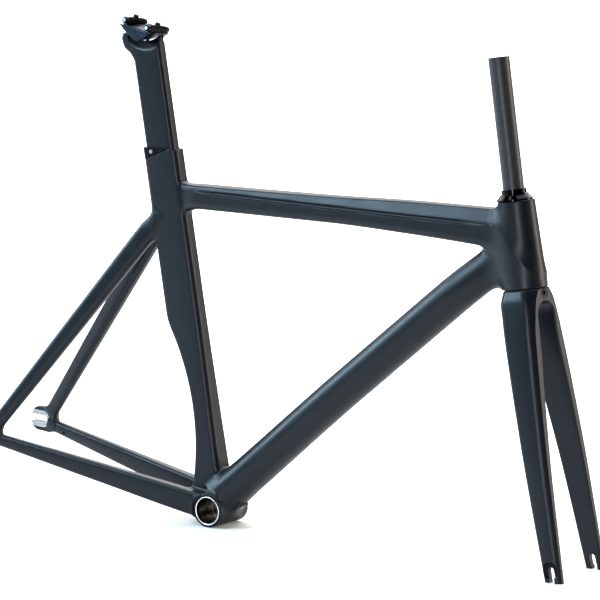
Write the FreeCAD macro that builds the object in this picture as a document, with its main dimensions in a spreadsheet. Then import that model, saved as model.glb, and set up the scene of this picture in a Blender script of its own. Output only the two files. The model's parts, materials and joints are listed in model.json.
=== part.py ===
"""Track bicycle frameset: frame, fork with headset, aero seatpost and saddle clamp.

Origin at the centre of the bottom bracket, +X forward, +Y to the left, +Z up.
The frameset stands on its bottom bracket lug and on its two fork ends.
"""
import FreeCAD, Part
import math
import os
import Sketcher

DIMENSIONS = {
    # stance
    "floor_depth": 24,
    "rear_axle_back": 371,
    "rear_axle_up": 79.3,
    "front_axle_ahead": 580.7,
    "front_axle_down": 7.7,
    "wheel_clearance_radius": 337,
    # bottom bracket
    "bb_lug_radius": 24,
    "bb_lug_half_width": 33,
    "bb_sleeve_radius": 20.5,
    "bb_bore_radius": 17.2,
    "bb_half_width": 34,
    "bb_cup_clearance": 60,
    # head tube, in the steering frame
    "head_ahead": 499.3,
    "head_up": 358.1,
    "head_lean": 8.5,
    "head_length": 118,
    "head_nose_shift": 2.4,
    "head_low_half_depth": 29.8,
    "head_low_half_width": 28.3,
    "head_high_half_depth": 25.4,
    "head_high_half_width": 22.9,
    "upper_seat_radius": 20.9,
    "lower_seat_radius": 26,
    "bearing_height": 7,
    "bearing_seat_depth": 7.6,
    "upper_race_inner_radius": 19.5,
    "lower_race_inner_radius": 24.4,
    "head_bore_high_radius": 17.5,
    "head_bore_low_radius": 22.5,
    # seat tube and mast, in the seat frame
    "seat_foot_back": 13.9,
    "seat_lean": 9.9,
    "seat_half_depth": 29,
    "mast_half_depth": 28.6,
    "seat_foot_half_width": 22,
    "seat_low_half_width": 16.5,
    "mast_half_width": 14.2,
    "seat_nose_radius": 9,
    "seat_foot": 6,
    "seat_belly": 150,
    "seat_shoulder": 300,
    "seat_tip": 540,
    "mast_top_up": 505,
    "post_pocket_start": 270,
    "post_clearance": 0.2,
    # tubes
    "top_tube_start_back": 75,
    "top_tube_length": 553,
    "top_tube_drop": 4,
    "top_tube_waist": 260,
    "top_tube_swell": 400,
    "top_tube_up": 442.3,
    "top_tube_rear_half_height": 15.2,
    "top_tube_mid_half_height": 16,
    "top_tube_swell_half_height": 18.8,
    "top_tube_front_half_height": 23,
    "top_tube_half_width": 17,
    "top_tube_swell_half_width": 17.8,
    "top_tube_front_half_width": 19,
    "top_tube_corner": 8,
    "down_tube_radius": 25,
    "down_tube_front_radius": 26,
    "down_tube_foot_half_width": 28,
    "chainstay_foot_back": 6,
    "chainstay_foot_aside": 22.7,
    "chainstay_foot_up": 3.2,
    "chainstay_tip_back": 353,
    "chainstay_tip_aside": 67.1,
    "chainstay_tip_up": 70.8,
    "chainstay_foot_half_height": 17.5,
    "chainstay_mid_half_height": 13.6,
    "chainstay_tip_half_height": 8.6,
    "chainstay_foot_half_width": 11,
    "chainstay_mid_half_width": 8.5,
    "chainstay_tip_half_width": 6.5,
    "seatstay_top_back": 104,
    "seatstay_top_aside": 6.4,
    "seatstay_top_up": 406.6,
    "seatstay_tip_back": 352,
    "seatstay_tip_aside": 64.4,
    "seatstay_tip_up": 92.1,
    "seatstay_top_half_depth": 12.5,
    "seatstay_mid_half_depth": 10.6,
    "seatstay_tip_half_depth": 8.2,
    "seatstay_top_half_width": 8.2,
    "seatstay_tip_half_width": 6,
    "stay_corner": 5.5,
    # track ends
    "track_end_inner": 62,
    "track_end_thickness": 8,
    "track_end_half_length": 19,
    "track_end_half_height": 16.5,
    "track_end_corner": 12,
    "track_end_shift": 4.3,
    "track_plate_thickness": 2,
    "track_plate_half_length": 17.5,
    "track_plate_half_height": 12.4,
    "track_plate_corner": 11.6,
    "track_plate_shift": -1.2,
    "track_slot_half_width": 5,
    "track_slot_closed_end": 6.6,
    "track_slot_tilt": 4.5,
    # seatpost
    "post_half_depth": 23.7,
    "post_half_width": 11,
    "post_nose_radius": 7.5,
    "post_foot": 345,
    "post_neck": 640,
    "post_flare": 652,
    "post_flare_rear": 27.5,
    "post_shoulder": 665,
    "post_shoulder_rear": 34.3,
    "post_ear": 674,
    "post_ear_rear": 35.7,
    "post_top": 681,
    "post_top_rear": 33,
    "post_head_half_width": 11.3,
    "post_step_back": 8,
    "post_step_up": 671.5,
    # seat clamp
    "clamp_depth": 43,
    "clamp_drop": 19,
    "clamp_tip_drop": 1.4,
    "clamp_gap": 0.4,
    "clamp_pin_radius": 3,
    "clamp_pin_back": 11.2,
    "clamp_pin_drop": 5,
    "clamp_screw_radius": 2.5,
    "clamp_screw_head_radius": 4,
    "clamp_screw_length": 5.2,
    "clamp_screw_head_height": 2.6,
    "clamp_screw_socket_radius": 1.6,
    "clamp_screw_high_drop": 0.2,
    "clamp_screw_low_drop": 8.3,
    # fork, in the steering frame
    "crown_gap": 1,
    "crown_top_half_depth": 28.3,
    "crown_top_half_width": 28,
    "crown_shoulder_half_width": 34.5,
    "crown_foot_half_depth": 25.3,
    "crown_foot_half_width": 41.6,
    "crown_foot": 60,
    "crown_shoulder": 16,
    "crown_waist": 38,
    "crown_waist_half_depth": 26.8,
    "crown_waist_half_width": 38.4,
    "crown_arch_radius": 20,
    "crown_arch_top": 19,
    "crown_front": 29.5,
    "steerer_radius": 14.3,
    "steerer_neck_radius": 14.1,
    "steerer_shoulder": 133.4,
    "steerer_taper_top": 70,
    "steerer_bore_radius": 11.8,
    "steerer_base_radius": 19.9,
    "steerer_top": 310.6,
    "leg_lead": 4.2,
    "leg_rake": 0.0787,
    "leg_top_aside": 30.8,
    "leg_knee_aside": 41,
    "leg_shin_aside": 49.5,
    "leg_knee": 150,
    "leg_shin": 250,
    "leg_foot": 398,
    "leg_knee_half_depth": 22.8,
    "leg_shin_half_depth": 20.2,
    "leg_foot_half_depth": 16.6,
    "leg_knee_half_width": 9.6,
    "leg_shin_half_width": 8,
    "leg_foot_half_width": 6,
    "leg_corner": 5.6,
    "fork_slot_half_width": 4.6,
    "fork_slot_tilt": 4.5,
    "fork_pocket_radius": 11.5,
    "fork_web": 6,
    "fork_plate_radius": 11.2,
    "fork_plate_thickness": 1.2,
    "crown_top_corner": 25,
    "crown_shoulder_corner": 18,
    "crown_waist_corner": 12,
    "crown_foot_corner": 8,
    "crown_waist_shift": 3,
    "hub_half_width": 50,
    "brake_hole_radius": 3,
    "brake_bush_radius": 4.4,
    "brake_hole_down": 7.85,
    # headset on the fork
    "ball_radius": 1.4,
    "upper_ball_ring": 17.7,
    "lower_ball_ring": 22.6,
    "upper_inner_race_bore": 15.1,
    "upper_inner_race_radius": 16.2,
    "lower_inner_race_radius": 21.1,
    "cover_radius": 24.4,
    "cover_step_radius": 19.6,
    "cover_top_radius": 17.1,
    "cover_gap": 0.4,
    "cover_flange_top": 2.4,
    "cover_cone_top": 7.4,
    "cover_step_top": 9.6,
    "cover_top": 15,
    "race_inset": 0.6,
    "crown_race_top": 0.8,
    "compression_ring_depth": 6,
    "ball_inset": 4.1,
    # saddle clamp, in the clamp frame
    "tilt_back": 133,
    "tilt_up": 687,
    "clamp_nose_down": 13.5,
    "cradle_radius": 30.7,
    "cradle_groove_radius": 31.8,
    "cradle_half_width": 27,
    "cradle_top": 13,
    "rail_radius": 3.5,
    "rail_spread": 22,
    "rail_down": 12.5,
    "bolt_ahead": 22.4,
    "bolt_aside": 15.8,
    "bolt_foot_down_right": 30,
    "bolt_foot_down_left": 26,
    "bolt_head_radius": 3.2,
    "bolt_head_height": 4.6,
    "bolt_radius": 2.2,
    "bolt_length": 15,
    "yoke_radius": 4.5,
    "yoke_half_length": 25.8,
    "yoke_middle_half_length": 20,
    "yoke_middle_half_depth": 5,
    "yoke_down": 9.5,
    "yoke_front": 22.3,
    "yoke_rear": 17,
    "yoke_roll": 7.2,
    "yoke_gap": 0.3,
    "yoke_run_out": 2,
    "cap_radius": 2.7,
    "cap_height": 0.8,
    "nut_radius": 3.8,
    "nut_bore_radius": 1.6,
    "nut_height": 4,
}
BALL_COUNT = 24

doc = FreeCAD.newDocument("track_frameset")
sheet = doc.addObject("Spreadsheet::Sheet", "dims")
for row, (alias, value) in enumerate(DIMENSIONS.items(), start=1):
    sheet.set(f"A{row}", alias)
    sheet.set(f"B{row}", str(value))
    sheet.setAlias(f"B{row}", alias)
doc.recompute()

nodes = []
V = FreeCAD.Vector
Y_AXIS = V(0, 1, 0)


def size(alias):
    """A driving dimension, read back from the spreadsheet."""
    return float(sheet.get(alias))


def bind(target, path, rule):
    """Bind a property to a rule: an expression on the sheet's aliases, or a plain number."""
    target.setExpression(path, rule if isinstance(rule, str) else repr(float(rule)))


def worked_out(rule):
    """The present value of a rule, to draw a sketch near its solution."""
    return float(sheet.evalExpression(rule)) if isinstance(rule, str) else float(rule)


def frame_at(point, toward, side=Y_AXIS):
    """A placement at point whose Z runs toward a second point and whose Y stays near side."""
    z_dir = (toward - point).normalize()
    x_dir = side.cross(z_dir).normalize()
    y_dir = z_dir.cross(x_dir)
    return FreeCAD.Placement(point, FreeCAD.Rotation(x_dir, y_dir, z_dir, "ZXY"))


def leaning(point, degrees):
    """A placement at point whose Z leans back by degrees."""
    return FreeCAD.Placement(point, FreeCAD.Rotation(Y_AXIS, -degrees))


def plane_of(body, role):
    return [feature for feature in body.Origin.OriginFeatures if feature.Role == role][0]


def new_body(label, placement):
    body = doc.addObject("PartDesign::Body", label)
    body.Label = label
    body.Placement = placement
    return body


def attach(sketch, body, role):
    sketch.AttachmentSupport = [(plane_of(body, role), "")]
    sketch.MapMode = "FlatFace"


def rounded_section(body, name, height, half_x, half_y, corner, shift_x=0, shift_y=0):
    """A rounded rectangle across the body's Z at a height; every size is a rule."""
    sketch = body.newObject("Sketcher::SketchObject", name)
    attach(sketch, body, "XY_Plane")
    bind(sketch, "AttachmentOffset.Base.x", shift_x)
    bind(sketch, "AttachmentOffset.Base.y", shift_y)
    bind(sketch, "AttachmentOffset.Base.z", height)
    a = worked_out(half_x)
    b = worked_out(half_y)
    r = worked_out(corner)
    up = V(0, 0, 1)
    edges = [(V(-a + r, -b), V(a - r, -b)), (V(a, -b + r), V(a, b - r)),
             (V(a - r, b), V(-a + r, b)), (V(-a, b - r), V(-a, -b + r))]
    for start, end in edges:
        sketch.addGeometry(Part.LineSegment(start, end), False)
    centres = [V(a - r, -b + r), V(a - r, b - r), V(-a + r, b - r), V(-a + r, -b + r)]
    for turn, centre in enumerate(centres):
        start = (turn - 1) * math.pi / 2
        circle = Part.Circle(centre, up, r)
        sketch.addGeometry(Part.ArcOfCircle(circle, start, start + math.pi / 2), False)
    for side in range(4):
        sketch.addConstraint(Sketcher.Constraint("Tangent", side, 2, 4 + side, 1))
        sketch.addConstraint(Sketcher.Constraint("Tangent", 4 + side, 2, (side + 1) % 4, 1))
        sketch.addConstraint(Sketcher.Constraint("Horizontal" if side % 2 == 0 else "Vertical", side))
    for side in range(1, 4):
        sketch.addConstraint(Sketcher.Constraint("Equal", 4, 4 + side))
    radius = sketch.addConstraint(Sketcher.Constraint("Radius", 4, r))
    right = sketch.addConstraint(Sketcher.Constraint("DistanceX", -1, 1, 1, 1, a))
    left = sketch.addConstraint(Sketcher.Constraint("DistanceX", 3, 1, -1, 1, a))
    top = sketch.addConstraint(Sketcher.Constraint("DistanceY", -1, 1, 2, 1, b))
    bottom = sketch.addConstraint(Sketcher.Constraint("DistanceY", 0, 1, -1, 1, b))
    for index, rule in ((radius, corner), (right, half_x), (left, half_x), (top, half_y), (bottom, half_y)):
        bind(sketch, f"Constraints[{index}]", rule)
    return sketch


def loft(body, sections):
    """A solid through the sections, in order."""
    feature = body.newObject("PartDesign::AdditiveLoft", body.Name + "_loft")
    feature.Profile = sections[0]
    feature.Sections = sections[1:]
    body.Tip = feature
    return body


def rounded_bar(label, placement, stations):
    """A lofted body; each station is height, half_x, half_y, corner and its two shifts."""
    body = new_body(label, placement)
    sections = [rounded_section(body, f"{label}_section_{number}", *station)
                for number, station in enumerate(stations)]
    return loft(body, sections)


def outline(body, name, role, vertices):
    """A closed polygon on an origin plane; each vertex is two rules."""
    sketch = body.newObject("Sketcher::SketchObject", name)
    attach(sketch, body, role)
    points = [V(worked_out(x), worked_out(y)) for x, y in vertices]
    count = len(points)
    for number in range(count):
        following = points[(number + 1) % count]
        sketch.addGeometry(Part.LineSegment(points[number], following), False)
    for number in range(count):
        sketch.addConstraint(Sketcher.Constraint("Coincident", number, 2, (number + 1) % count, 1))
        for kind, axis, rule in zip(("DistanceX", "DistanceY"), (-2, -1), vertices[number]):
            value = worked_out(rule)
            if value == 0:
                sketch.addConstraint(Sketcher.Constraint("PointOnObject", number, 1, axis))
                continue
            index = sketch.addConstraint(Sketcher.Constraint(kind, -1, 1, number, 1, value))
            bind(sketch, f"Constraints[{index}]", rule)
    return sketch


def turned(label, placement, vertices):
    """A body of revolution about its Z; each vertex is a radius and a height."""
    body = new_body(label, placement)
    sketch = outline(body, label + "_profile", "XZ_Plane", vertices)
    feature = body.newObject("PartDesign::Revolution", label + "_turn")
    feature.Profile = sketch
    feature.ReferenceAxis = (sketch, ["V_Axis"])
    feature.Angle = 360
    body.Tip = feature
    return body


def ring(label, placement, inner, outer, low, high):
    return turned(label, placement, [(inner, low), (outer, low), (outer, high), (inner, high)])


def ellipse_loft(label, stations):
    """A solid through ellipses; each station is a placement, its X radius and its Y radius."""
    sections = []
    for number, (placement, half_x, half_y) in enumerate(stations):
        section = doc.addObject("Part::Ellipse", f"{label}_ellipse_{number}")
        turn = FreeCAD.Rotation()
        major, minor = half_x, half_y
        if worked_out(half_y) > worked_out(half_x):
            major, minor = half_y, half_x
            turn = FreeCAD.Rotation(V(0, 0, 1), 90)
        bind(section, "MajorRadius", major)
        bind(section, "MinorRadius", minor)
        section.Placement = placement.multiply(FreeCAD.Placement(V(), turn))
        sections.append(section)
    solid = doc.addObject("Part::Loft", label)
    solid.Sections = sections
    solid.Solid = True
    solid.Label = label
    return solid


def rod(label, placement, radius, length):
    """A cylinder along the placement's Z, centred on it when the length is symmetric."""
    solid = doc.addObject("Part::Cylinder", label)
    solid.Label = label
    bind(solid, "Radius", radius)
    bind(solid, "Height", length)
    solid.Placement = placement
    return solid


def along_y(point, half_length):
    """A placement for a rod along Y, centred on point."""
    start = point - V(0, half_length, 0)
    return FreeCAD.Placement(start, FreeCAD.Rotation(V(1, 0, 0), -90))


def block(label, placement, length, width, height):
    solid = doc.addObject("Part::Box", label)
    solid.Label = label
    bind(solid, "Length", length)
    bind(solid, "Width", width)
    bind(solid, "Height", height)
    solid.Placement = placement
    return solid


def united(label, *parts):
    solid = doc.addObject("Part::MultiFuse", label)
    solid.Label = label
    solid.Shapes = list(parts)
    return solid


def cut(label, base, *tools):
    """Base less the tools, one after another."""
    solid = base
    for number, tool in enumerate(tools, start=1):
        name = label if number == len(tools) else f"{label}_less_{number}"
        step = doc.addObject("Part::Cut", name)
        step.Label = name
        step.Base = solid
        step.Tool = tool
        solid = step
    return solid


def common(label, first, second):
    solid = doc.addObject("Part::Common", label)
    solid.Label = label
    solid.Base = first
    solid.Tool = second
    return solid


def keep(solid):
    """Mark a solid as a sub-part to write."""
    nodes.append(solid)
    return solid


def shifted(placement, x=0.0, y=0.0, z=0.0):
    """The placement moved along its own axes."""
    return placement.multiply(FreeCAD.Placement(V(x, y, z), FreeCAD.Rotation()))


def turned_about_x(placement, degrees):
    return placement.multiply(FreeCAD.Placement(V(), FreeCAD.Rotation(V(1, 0, 0), degrees)))


# ---------------------------------------------------------------- reference frames
origin = V(0, 0, 0)
rear_axle = V(-size("rear_axle_back"), 0, size("rear_axle_up"))
steering = leaning(V(size("head_ahead"), 0, size("head_up")), size("head_lean"))
seat = leaning(V(-size("seat_foot_back"), 0, 0), size("seat_lean"))
tilt_point = V(-size("tilt_back"), 0, size("tilt_up"))
saddle = leaning(tilt_point, -size("clamp_nose_down"))
SIDES = (("right", -1), ("left", 1))

# ---------------------------------------------------------------- shared cutting shapes
bb_outer = rod("bb_outer", along_y(origin, size("bb_lug_half_width")), "dims.bb_lug_radius",
               "2 * dims.bb_lug_half_width")
bb_reach = rod("bb_reach", along_y(origin, size("bb_cup_clearance")), "dims.bb_lug_radius",
               "2 * dims.bb_cup_clearance")

seat_loft = rounded_bar("seat_loft", seat, [
    ("dims.seat_foot", "dims.seat_half_depth", "dims.seat_foot_half_width", "dims.seat_nose_radius"),
    ("dims.seat_belly", "dims.seat_half_depth", "dims.seat_low_half_width", "dims.seat_nose_radius"),
    ("dims.seat_shoulder", "dims.seat_half_depth", "dims.mast_half_width", "dims.seat_nose_radius"),
    ("dims.seat_tip", "dims.mast_half_depth", "dims.mast_half_width", "dims.seat_nose_radius")])
WHEEL_SWEEP_WIDTH = 80
wheel_sweep = rod("wheel_sweep", along_y(rear_axle, WHEEL_SWEEP_WIDTH / 2), "dims.wheel_clearance_radius",
                  WHEEL_SWEEP_WIDTH)
lid_corner = V(-200, -50, size("mast_top_up"))
above_mast = block("above_mast", FreeCAD.Placement(lid_corner, FreeCAD.Rotation()), 200, 100, 100)
seat_outer = cut("seat_outer", seat_loft, wheel_sweep, above_mast, bb_outer)

head_low = shifted(steering, x=size("head_nose_shift"))
head_high = shifted(steering, x=size("head_nose_shift"), z=size("head_length"))
head_outer = ellipse_loft("head_outer", [
    (head_low, "dims.head_low_half_depth", "dims.head_low_half_width"),
    (head_high, "dims.head_high_half_depth", "dims.head_high_half_width")])


# ---------------------------------------------------------------- main frame
def bottom_bracket():
    """The lug, and the threaded sleeve bonded in it."""
    bore = rod("bb_lug_bore", along_y(origin, size("bb_half_width")), "dims.bb_sleeve_radius",
               "2 * dims.bb_half_width")
    keep(cut("bottom_bracket_lug", bb_outer, bore))
    facing = FreeCAD.Placement(origin, FreeCAD.Rotation(V(1, 0, 0), -90))
    keep(ring("bottom_bracket_sleeve", facing, "dims.bb_bore_radius", "dims.bb_sleeve_radius",
              "-dims.bb_half_width", "dims.bb_half_width"))


def head_tube():
    """The tapered head tube, bored for both bearings and for the steerer."""
    overrun = 5
    drill = turned("head_drill", steering, [
        (0, -overrun), ("dims.lower_seat_radius", -overrun),
        ("dims.lower_seat_radius", "dims.bearing_seat_depth"),
        ("dims.head_bore_low_radius", "dims.bearing_seat_depth"),
        ("dims.head_bore_high_radius", "dims.head_length - dims.bearing_seat_depth"),
        ("dims.upper_seat_radius", "dims.head_length - dims.bearing_seat_depth"),
        ("dims.upper_seat_radius", f"dims.head_length + {overrun}"), (0, f"dims.head_length + {overrun}")])
    keep(cut("head_tube", head_outer, drill))


def seat_tube():
    """Seat tube and mast in one, with the seatpost's pocket and the seat clamp's notch."""
    gap = "dims.post_half_depth + dims.post_clearance"
    pocket = rounded_bar("post_pocket", seat, [
        (height, gap, "dims.post_half_width + dims.post_clearance", "dims.post_nose_radius")
        for height in ("dims.post_pocket_start", "dims.seat_tip + 10")])
    keep(cut("seat_tube", seat_outer, pocket, clamp_notch("seat_clamp_notch", 0.0)))


def mast_middle(drop):
    """The point on the seat axis at a drop below the mast's top."""
    up = size("mast_top_up") - drop
    return V(-size("seat_foot_back") - up * math.tan(math.radians(size("seat_lean"))), 0, up)


def clamp_notch(label, gap):
    """The wedge at the mast's rear top edge, drawn in by a gap; it runs on behind the mast."""
    overrun = 12.0
    middle = mast_middle(0)
    rear = middle.x - size("mast_half_depth")
    tip = rear + size("clamp_depth") - gap
    slope = (size("clamp_drop") - size("clamp_tip_drop")) / size("clamp_depth")
    tip_drop = size("clamp_tip_drop") - gap
    tail_drop = size("clamp_drop") - gap + slope * overrun
    body = new_body(label, FreeCAD.Placement(V(0, 0, middle.z), FreeCAD.Rotation()))
    sketch = outline(body, label + "_outline", "XZ_Plane", [
        (rear - overrun, 5.0), (tip, 5.0), (tip, -tip_drop), (rear - overrun, -tail_drop)])
    feature = body.newObject("PartDesign::Pad", label + "_pad")
    feature.Profile = sketch
    feature.Length = 80
    feature.Midplane = True
    body.Tip = feature
    return body


def seat_clamp():
    """The yoke that fills the notch, its two side pins and the two screws at its back."""
    wedge = clamp_notch("seat_clamp_wedge", size("clamp_gap"))
    shell = rounded_bar("seat_clamp_shell", seat, [
        (height, "dims.mast_half_depth", "dims.mast_half_width", "dims.seat_nose_radius")
        for height in ("dims.seat_tip - 70", "dims.seat_tip")])
    gap = "dims.post_half_depth + 0.5"
    passage = rounded_bar("seat_clamp_passage", seat, [
        (height, gap, "dims.post_half_width + 0.5", "dims.post_nose_radius")
        for height in ("dims.seat_tip - 80", "dims.seat_tip + 10")])
    lid = block("above_clamp", FreeCAD.Placement(lid_corner, FreeCAD.Rotation()), 200, 100, 60)
    blank = cut("seat_clamp_blank", common("seat_clamp_form", shell, wedge), passage, lid)
    pin_point = mast_middle(0) - V(size("clamp_pin_back"), 0, size("clamp_pin_drop"))
    inner = size("post_half_width") + 0.6
    outer = size("mast_half_width") + 0.5
    pins = []
    for side, sign in SIDES:
        start = pin_point + V(0, sign * inner, 0)
        spot = frame_at(start, start + V(0, sign, 0), V(0, 0, 1))
        pins.append(rod(f"seat_clamp_pin_{side}", spot, "dims.clamp_pin_radius", outer - inner))
    screws = []
    for level in ("high", "low"):
        middle = FreeCAD.Placement(mast_middle(size(f"clamp_screw_{level}_drop")), seat.Rotation)
        start = shifted(middle, x=-size("post_half_depth") - 0.6).Base
        rear = frame_at(start, start - seat.Rotation.multVec(V(1, 0, 0)))
        shank = rod(f"seat_clamp_shank_{level}", rear, "dims.clamp_screw_radius", "dims.clamp_screw_length")
        head = rod(f"seat_clamp_head_{level}", shifted(rear, z=size("clamp_screw_length") - 0.2),
                   "dims.clamp_screw_head_radius", "dims.clamp_screw_head_height")
        socket = rod(f"seat_clamp_socket_{level}", shifted(rear, z=size("clamp_screw_length") + 1),
                     "dims.clamp_screw_socket_radius", "dims.clamp_screw_head_height")
        bolt = united(f"seat_clamp_bolt_{level}", shank, head)
        screws.append(cut(f"seat_clamp_screw_{level}", bolt, socket))
    pin_group = keep(compound("seat_clamp_pins", pins))
    screw_group = keep(compound("seat_clamp_screws", screws))
    keep(cut("seat_clamp_yoke", blank, pin_group, screw_group))


def compound(label, parts):
    """Separate solids that share one sub-part."""
    group = doc.addObject("Part::Compound", label)
    group.Label = label
    group.Links = list(parts)
    return group


def top_tube():
    """The flat-sided top tube, deeper towards the head tube."""
    start = V(-size("top_tube_start_back"), 0, size("top_tube_up"))
    end = start + V(size("top_tube_length"), 0, -size("top_tube_drop"))
    bar = rounded_bar("top_tube_loft", frame_at(start, end), [
        (0, "dims.top_tube_rear_half_height", "dims.top_tube_half_width", "dims.top_tube_corner"),
        ("dims.top_tube_waist", "dims.top_tube_mid_half_height", "dims.top_tube_half_width",
         "dims.top_tube_corner"),
        ("dims.top_tube_swell", "dims.top_tube_swell_half_height", "dims.top_tube_swell_half_width",
         "dims.top_tube_corner"),
        ("dims.top_tube_length", "dims.top_tube_front_half_height", "dims.top_tube_front_half_width",
         "dims.top_tube_corner")])
    keep(cut("top_tube", bar, seat_outer, head_outer))


def down_tube():
    """The round down tube, arched a little, from the lug to the head tube."""
    line = [V(6, 0, 16.5), V(52, 0, 55.6), V(220, 0, 199.2), V(382, 0, 333), V(484, 0, 411)]
    foot = ("dims.down_tube_radius", "dims.down_tube_foot_half_width")
    middle = ("dims.down_tube_radius", "dims.down_tube_radius")
    front = ("dims.down_tube_front_radius", "dims.down_tube_front_radius")
    stations = []
    for number, radii in enumerate((foot, middle, middle, front, front)):
        point = line[number]
        before = line[max(number - 1, 0)]
        after = line[min(number + 1, len(line) - 1)]
        stations.append((frame_at(point, point + (after - before)), *radii))
    bar = ellipse_loft("down_tube_loft", stations)
    keep(cut("down_tube", bar, bb_reach, seat_outer, head_outer, doc.getObject("top_tube_loft")))


def chainstays():
    """A deep stay each side, from the lug to the track end."""
    for side, sign in SIDES:
        foot = V(-size("chainstay_foot_back"), sign * size("chainstay_foot_aside"), size("chainstay_foot_up"))
        tip = V(-size("chainstay_tip_back"), sign * size("chainstay_tip_aside"), size("chainstay_tip_up"))
        length = (tip - foot).Length
        bar = rounded_bar(f"chainstay_loft_{side}", frame_at(foot, tip), [
            (0, "dims.chainstay_foot_half_height", "dims.chainstay_foot_half_width", "dims.stay_corner"),
            (0.5 * length, "dims.chainstay_mid_half_height", "dims.chainstay_mid_half_width",
             "dims.stay_corner"),
            (length, "dims.chainstay_tip_half_height", "dims.chainstay_tip_half_width", "dims.stay_corner")])
        keep(cut(f"chainstay_{side}", bar, bb_reach, seat_outer, track_end_blank(side),
                 doc.getObject("down_tube_loft")))


def seatstays():
    """A slender stay each side, from the mast to the track end."""
    for side, sign in SIDES:
        top = V(-size("seatstay_top_back"), sign * size("seatstay_top_aside"), size("seatstay_top_up"))
        tip = V(-size("seatstay_tip_back"), sign * size("seatstay_tip_aside"), size("seatstay_tip_up"))
        length = (tip - top).Length
        bar = rounded_bar(f"seatstay_loft_{side}", frame_at(top, tip), [
            (0, "dims.seatstay_top_half_depth", "dims.seatstay_top_half_width", "dims.stay_corner"),
            (0.45 * length, "dims.seatstay_mid_half_depth", "dims.seatstay_top_half_width",
             "dims.stay_corner"),
            (length, "dims.seatstay_tip_half_depth", "dims.seatstay_tip_half_width", "dims.stay_corner")])
        half = block(f"seatstay_side_{side}", FreeCAD.Placement(
            V(-500, 0.5 if sign > 0 else -100.5, 0), FreeCAD.Rotation()), 500, 100, 500)
        own_side = common(f"seatstay_half_{side}", bar, half)
        keep(cut(f"seatstay_{side}", own_side, seat_outer, track_end_blank(side),
                 doc.getObject(f"chainstay_loft_{side}")))


def axle_frame(lateral):
    """The track end's frame: X forward along the slot, Z outward from the wheel's plane."""
    spot = leaning(rear_axle + V(0, lateral, 0), -size("track_slot_tilt"))
    return turned_about_x(spot, -90 if lateral > 0 else 90)


def track_end_blank(side):
    return doc.getObject(f"track_end_blank_{side}")


def track_slot(label, spot, depth):
    """The slot that the axle slides in, open to the rear."""
    round_end = rod(label + "_end", shifted(spot, x=size("track_slot_closed_end"), z=-1),
                    "dims.track_slot_half_width", depth + 2.0)
    corner = shifted(spot, x=size("track_slot_closed_end") - 60, y=-size("track_slot_half_width"), z=-1)
    channel = block(label + "_channel", corner, 60, "2 * dims.track_slot_half_width", depth + 2.0)
    return united(label, round_end, channel)


def track_ends():
    """The carbon track ends and the steel plates on their inner faces."""
    for side, sign in SIDES:
        spot = axle_frame(sign * size("track_end_inner"))
        bar = rounded_bar(f"track_end_blank_{side}", spot, [
            (height, "dims.track_end_half_length", "dims.track_end_half_height", "dims.track_end_corner",
             "dims.track_end_shift") for height in (0, "dims.track_end_thickness")])
        slot = track_slot(f"track_end_slot_{side}", spot, size("track_end_thickness"))
        keep(cut(f"track_end_{side}", bar, slot))
        face = axle_frame(sign * (size("track_end_inner") - size("track_plate_thickness")))
        plate = rounded_bar(f"track_plate_blank_{side}", face, [
            (height, "dims.track_plate_half_length", "dims.track_plate_half_height",
             "dims.track_plate_corner", "dims.track_plate_shift")
            for height in (0, "dims.track_plate_thickness")])
        keep(cut(f"track_end_plate_{side}", plate,
                 track_slot(f"track_plate_slot_{side}", face, size("track_plate_thickness"))))


def cable_guide():
    """The small cover under the down tube's foot, and its screw."""
    inside_tube = V(25, 0, 17)
    out_of_tube = V(0.62, 0, -0.78)
    place = frame_at(inside_tube, inside_tube + out_of_tube)
    cover_height = 17.5
    screw_start = 14.0
    screw_radius = 3.0
    screw_length = cover_height + 0.6 - screw_start
    bar = rounded_bar("cable_guide_blank", place, [(0, 10.0, 13.0, 5.0), (cover_height, 8.0, 11.0, 5.0)])
    screw = keep(rod("cable_guide_screw", shifted(place, z=screw_start), screw_radius, screw_length))
    keep(cut("cable_guide", bar, doc.getObject("down_tube_loft"), bb_outer, screw))


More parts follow.
